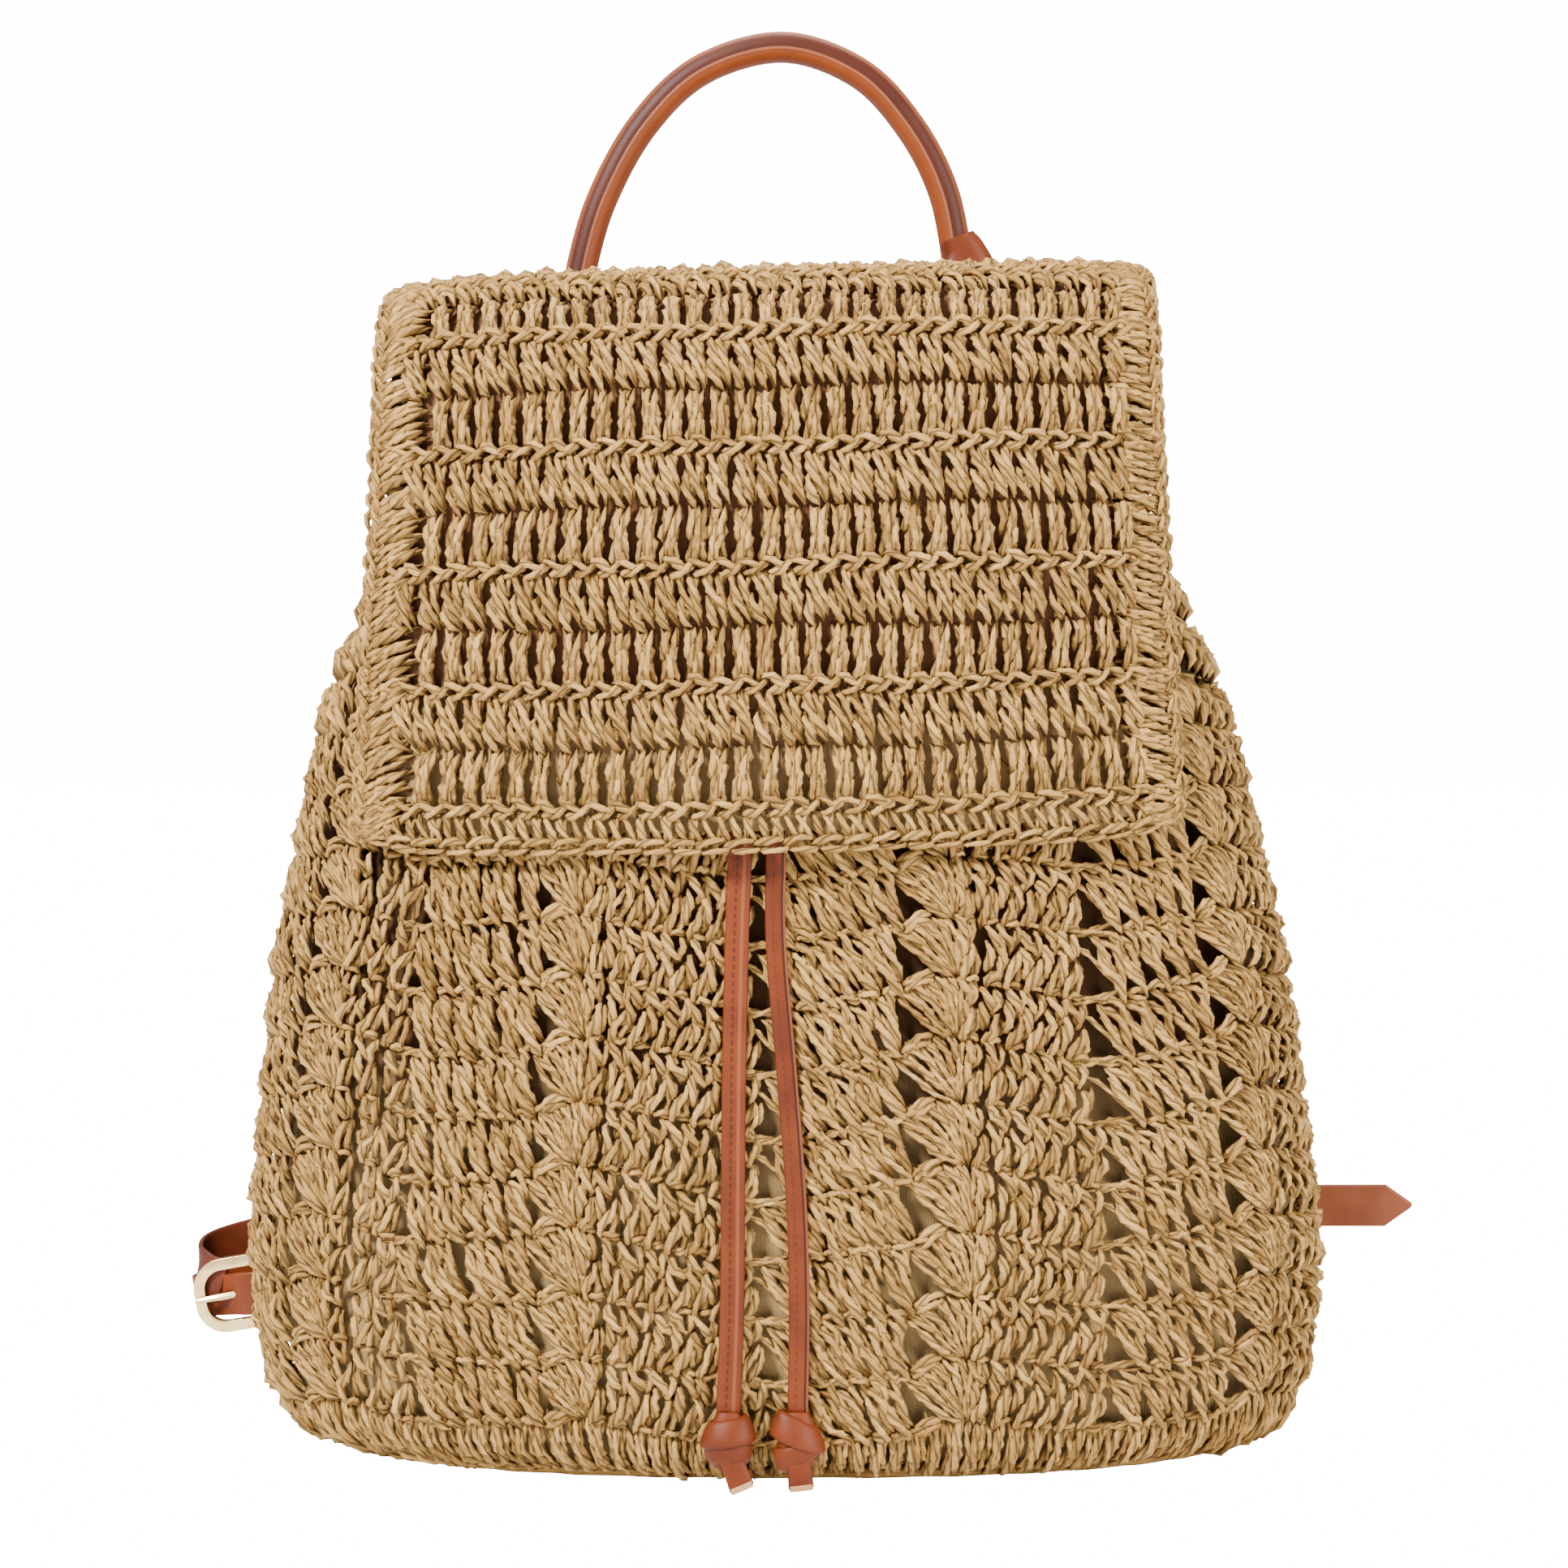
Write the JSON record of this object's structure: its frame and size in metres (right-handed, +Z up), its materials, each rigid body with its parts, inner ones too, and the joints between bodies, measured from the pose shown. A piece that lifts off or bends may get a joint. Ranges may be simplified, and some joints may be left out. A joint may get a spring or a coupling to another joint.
{
  "type": "straw backpack",
  "caption": "Crocheted straw backpack with a fold-over flap, leather drawcord, rolled top handle and buckled shoulder straps.",
  "frame": {"origin": "on the floor, in the middle of the base's underside", "axes": "+Z up, -Y the way the flap's front faces, +X to the right of someone looking at the front"},
  "size_m": [0.3636, 0.1895, 0.4086],
  "materials": {
    "straw": "matt twisted paper straw yarn",
    "lining_cloth": "plain woven cloth",
    "leather": "smooth satin leather",
    "pale_gold": "pale gold plating, satin"
  },
  "bodies": {
    "root": {"straw_body": "straw", "straw_base": "straw", "straw_flap": "straw", "fabric_lining": "lining_cloth", "flap_lining": "lining_cloth", "drawcord_mouth": "leather", "drawcord_end_left": "leather", "drawcord_end_right": "leather", "drawcord_knot_left": "leather", "drawcord_knot_right": "leather", "carry_handle": "leather", "handle_collar": "leather", "strap_anchor": "leather", "shoulder_strap_left": "leather", "shoulder_strap_right": "leather", "strap_tab_left": "leather", "strap_tab_right": "leather", "buckle_frame_left": "pale_gold", "buckle_frame_right": "pale_gold", "buckle_prong_left": "pale_gold", "buckle_prong_right": "pale_gold"}
  },
  "joints": []
}
